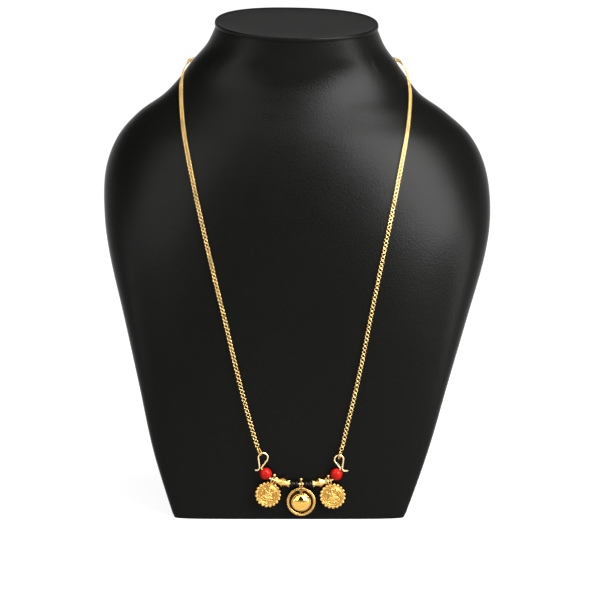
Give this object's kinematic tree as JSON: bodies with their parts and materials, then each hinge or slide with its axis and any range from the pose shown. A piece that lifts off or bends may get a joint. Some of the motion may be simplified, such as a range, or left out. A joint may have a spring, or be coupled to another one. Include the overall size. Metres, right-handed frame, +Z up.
{
  "type": "thali necklace on a neck bust",
  "caption": "Gold thali necklace with a domed thali, coin drops, coral and black beads on a wire under a long rolo chain, worn by a plain black neck bust.",
  "frame": {"origin": "middle of the bounding box at the bust's flat base", "axes": "+Z up, -Y the way the bust faces, +X to the viewer's right"},
  "size_m": [0.2397, 0.1427, 0.3028],
  "materials": {
    "leatherette": "matt black leatherette with a fine pebble grain",
    "gold": "polished yellow gold",
    "pale_gold": "drawn pale gold wire",
    "coral": "polished red coral",
    "black_bead": "polished black glass"
  },
  "bodies": {
    "stand": {"bust_body": "leatherette", "neck_cap": "leatherette", "chain": "gold", "end_link_left": "gold", "end_link_right": "gold", "hanging_wire": "pale_gold", "coral_bead_left": "coral", "coral_bead_right": "coral", "gold_bead_left": "gold", "gold_bead_right": "gold", "black_bead_1": "black_bead", "black_bead_2": "black_bead", "black_bead_3": "black_bead", "black_bead_4": "black_bead"},
    "thali_drop": {"thali": "gold"},
    "coin_drop_left": {"coin_left": "gold"},
    "coin_drop_right": {"coin_right": "gold"}
  },
  "joints": [
    {"name": "thali_swing", "type": "hinge", "parent": "stand", "child": "thali_drop", "pos_m": [0.0026, -0.068, 0.0232], "axis": [-1, 0, 0], "range_deg": [-7, 80]},
    {"name": "coin_left_swing", "type": "hinge", "parent": "stand", "child": "coin_drop_left", "pos_m": [-0.01446, -0.068, 0.02586], "axis": [-0.9511, 0, 0.309], "range_deg": [-8, 75]},
    {"name": "coin_right_swing", "type": "hinge", "parent": "stand", "child": "coin_drop_right", "pos_m": [0.01966, -0.068, 0.02522], "axis": [-0.9781, 0, -0.2079], "range_deg": [-8, 75]}
  ]
}
